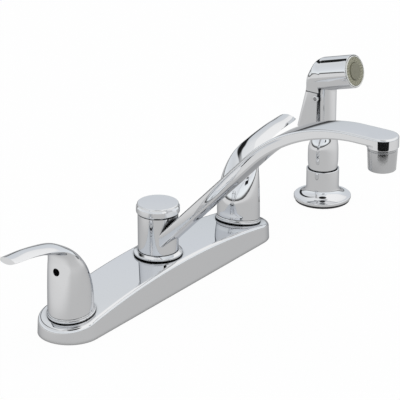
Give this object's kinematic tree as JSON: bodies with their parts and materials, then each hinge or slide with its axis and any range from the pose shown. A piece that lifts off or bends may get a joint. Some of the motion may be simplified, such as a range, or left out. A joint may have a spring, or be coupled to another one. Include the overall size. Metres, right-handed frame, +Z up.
{
  "type": "kitchen faucet",
  "caption": "Kitchen faucet on an arched deck plate, with a lever handle at each end, a low swinging spout and a side spray in its own holder.",
  "frame": {"origin": "on the sink deck's surface, on the spout's turning axis", "axes": "+X along the deck plate towards the right handle and the side spray, -Y to the front, where the spout points over the bowl, +Z up"},
  "size_m": [0.3948, 0.221, 0.2064],
  "materials": {
    "chrome": "polished mirror chrome plate",
    "brass": "machined yellow brass",
    "copper": "drawn copper tube",
    "steel": "plain stainless steel",
    "rubber": "black nitrile rubber",
    "black_plastic": "moulded black acetal",
    "white_plastic": "moulded white acetal",
    "grey_rubber": "soft beige grey spray face",
    "grey_plastic": "moulded grey plastic"
  },
  "bodies": {
    "faucet_base": {"deck_plate": "chrome", "deck_gasket": "black_plastic", "valve_body_left": "brass", "seat_spring_left": "steel", "valve_seat_left": "rubber", "cartridge_left": "white_plastic", "bonnet_nut_left": "brass", "handle_ring_left": "chrome", "waterway_tube_left": "copper", "mounting_washer_left": "steel", "mounting_nut_left": "black_plastic", "valve_body_right": "brass", "seat_spring_right": "steel", "valve_seat_right": "rubber", "cartridge_right": "white_plastic", "bonnet_nut_right": "brass", "handle_ring_right": "chrome", "waterway_tube_right": "copper", "mounting_washer_right": "steel", "mounting_nut_right": "black_plastic", "spout_post": "brass", "spout_o_ring_lower": "rubber", "spout_o_ring_upper": "rubber", "spout_base_ring": "chrome", "spout_cap": "chrome", "spray_outlet": "brass", "spray_holder": "chrome", "spray_holder_gasket": "rubber", "spray_holder_nut": "black_plastic"},
    "handle_left_body": {"handle_left": "chrome", "set_screw_left": "steel", "stem_left": "brass", "stem_o_ring_left": "rubber"},
    "handle_right_body": {"handle_right": "chrome", "set_screw_right": "steel", "stem_right": "brass", "stem_o_ring_right": "rubber"},
    "spout_body": {"spout": "chrome", "aerator_shell": "chrome", "aerator_screen": "steel", "aerator_washer": "rubber"},
    "diverter_body": {"diverter": "black_plastic"},
    "spray": {"spray_body": "chrome", "spray_hose_nipple": "brass", "trigger_pin": "steel", "plunger_spring": "steel", "spray_bezel": "white_plastic", "spray_face": "grey_rubber", "spray_centre": "grey_plastic"},
    "trigger_body": {"spray_trigger": "chrome"},
    "plunger_body": {"spray_plunger": "white_plastic"}
  },
  "joints": [
    {"name": "handle_left_turn", "type": "hinge", "parent": "faucet_base", "child": "handle_left_body", "pos_m": [-0.1016, 0, 0.01458], "axis": [-0.1588, 0, 0.9873], "range_deg": [0, 90]},
    {"name": "handle_right_turn", "type": "hinge", "parent": "faucet_base", "child": "handle_right_body", "pos_m": [0.1016, 0, 0.01458], "axis": [-0.1588, 0, -0.9873], "range_deg": [0, 90]},
    {"name": "spout_swing", "type": "hinge", "parent": "faucet_base", "child": "spout_body", "pos_m": [0, 0, 0.04], "axis": [0, 0, 1], "continuous": true},
    {"name": "spray_lift", "type": "slide", "parent": "faucet_base", "child": "spray", "axis": [0, 0, 1], "range_m": [0, 0.07]},
    {"name": "trigger_squeeze", "type": "hinge", "parent": "spray", "child": "trigger_body", "pos_m": [0.2032, -0.0081, 0.086], "axis": [-1, 0, 0], "range_deg": [0, 8], "stiffness_Nm_per_rad": 0.8, "springref_deg": -1.72},
    {"name": "plunger_push", "type": "slide", "parent": "spray", "child": "plunger_body", "axis": [0, -1, 0], "range_m": [0, 0.002], "deforming": ["plunger_spring"]},
    {"name": "diverter_shift", "type": "slide", "parent": "faucet_base", "child": "diverter_body", "axis": [0, 0, 1], "range_m": [0, 0.003]}
  ],
  "couplings": [
    {"joint": "plunger_push", "follows": "diverter_shift", "ratio": 0.65},
    {"joint": "trigger_squeeze", "follows": "diverter_shift", "rad_per_m": 46.5}
  ]
}
